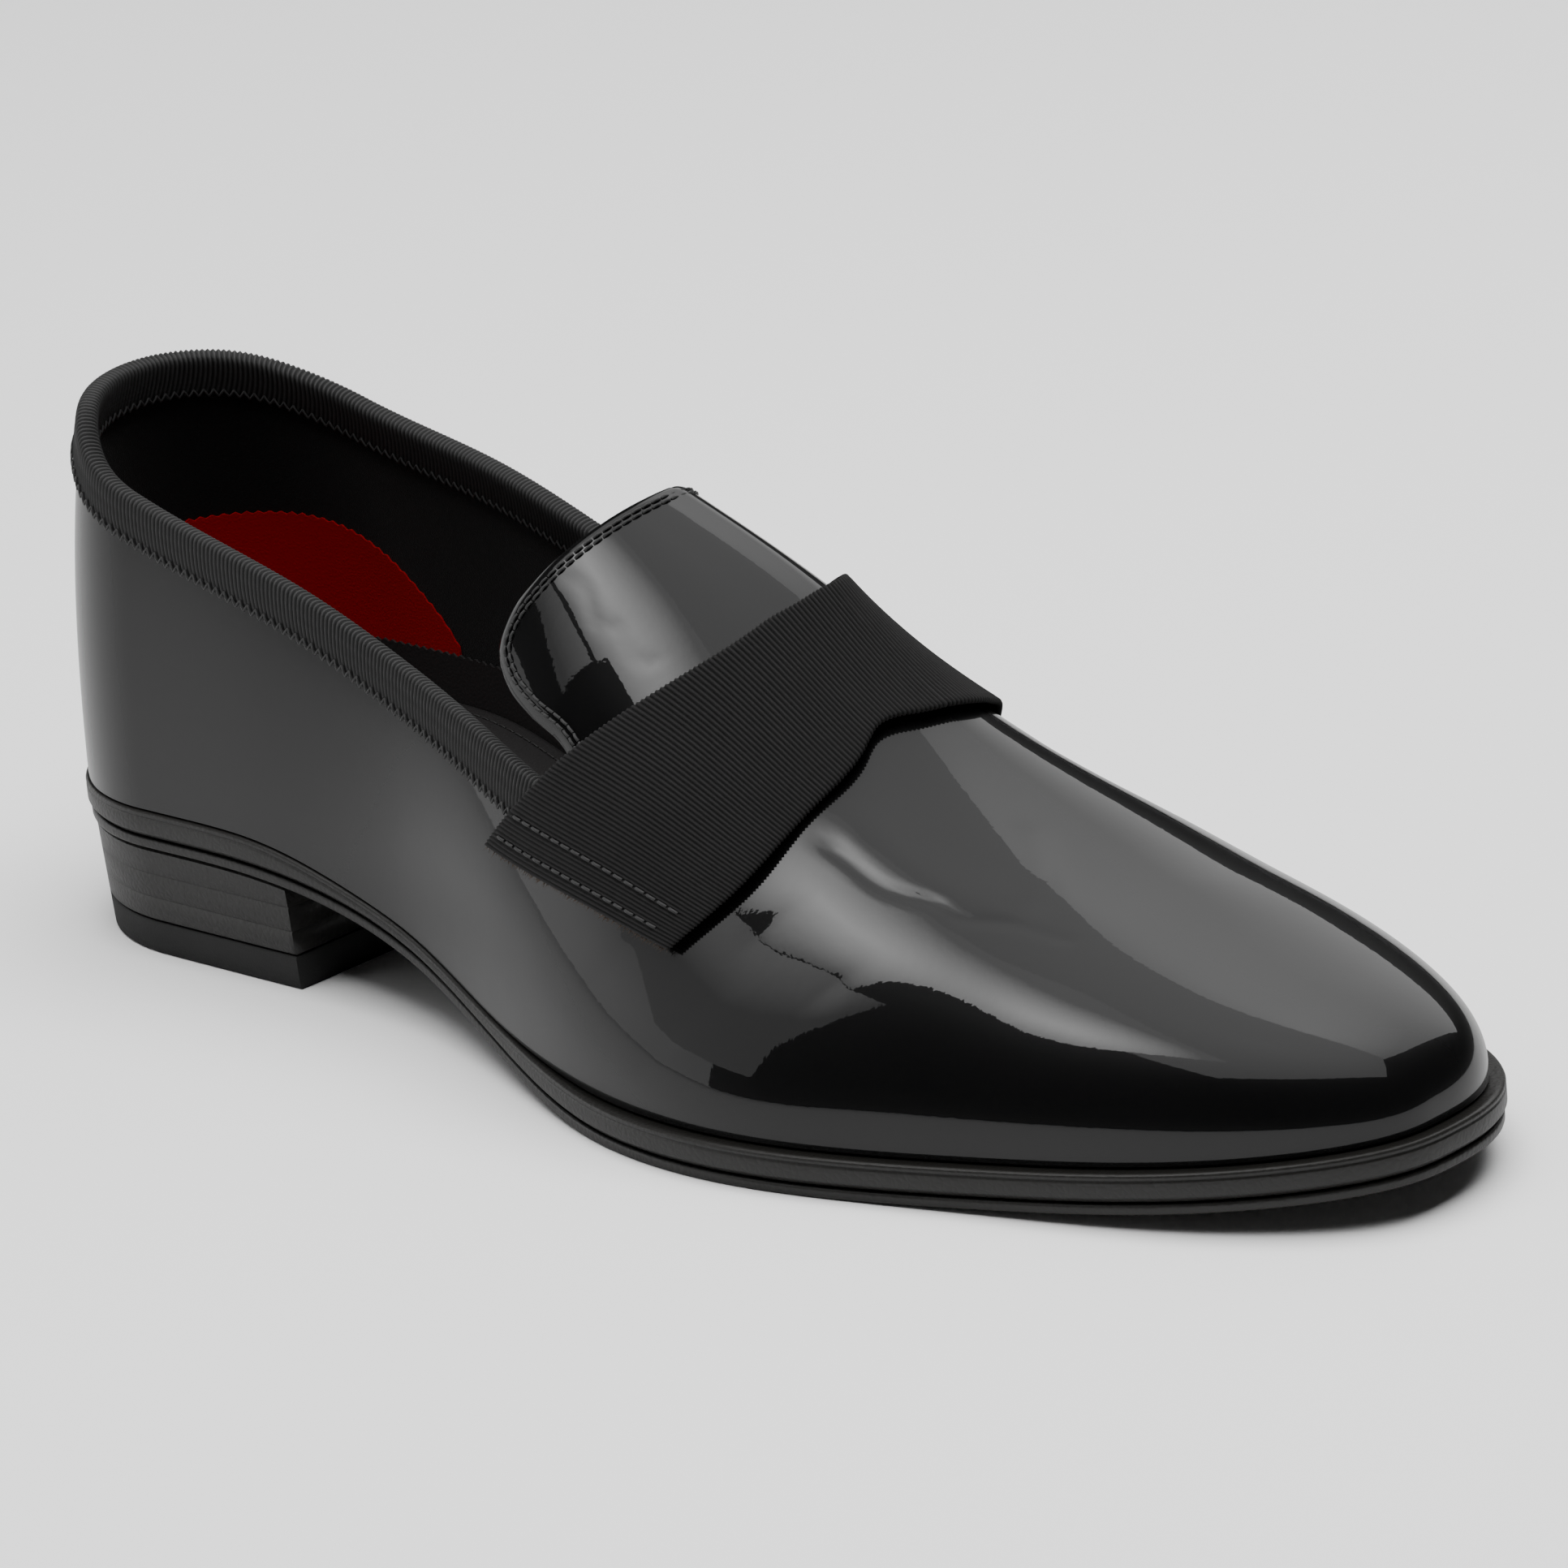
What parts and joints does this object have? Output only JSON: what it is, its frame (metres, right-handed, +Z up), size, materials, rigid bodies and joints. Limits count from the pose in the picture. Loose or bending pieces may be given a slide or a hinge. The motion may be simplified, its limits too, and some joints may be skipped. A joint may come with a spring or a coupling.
{
  "type": "opera pump",
  "caption": "Right patent leather opera pump, slip-on with tongue, bound topline, flat ribbon bow across the vamp, thin leather sole and low stacked heel.",
  "frame": {"origin": "on the floor, under the middle of the shoe's box", "axes": "+X from heel to toe, +Y to the inner side of the right foot, +Z up"},
  "size_m": [0.2952, 0.1044, 0.0931],
  "materials": {
    "patent_leather": "black patent, very glossy",
    "grosgrain": "matte black ribbed ribbon",
    "lining": "soft matte black lining, red at the heel",
    "sole_edge": "waxed dark leather edge",
    "heel_rubber": "matte black rubber"
  },
  "bodies": {
    "root": {"upper": "patent_leather", "binding": "grosgrain", "bow": "grosgrain", "insole": "lining", "midsole": "sole_edge", "outsole": "sole_edge", "heel_base": "sole_edge", "heel_top_piece": "heel_rubber"}
  },
  "joints": []
}
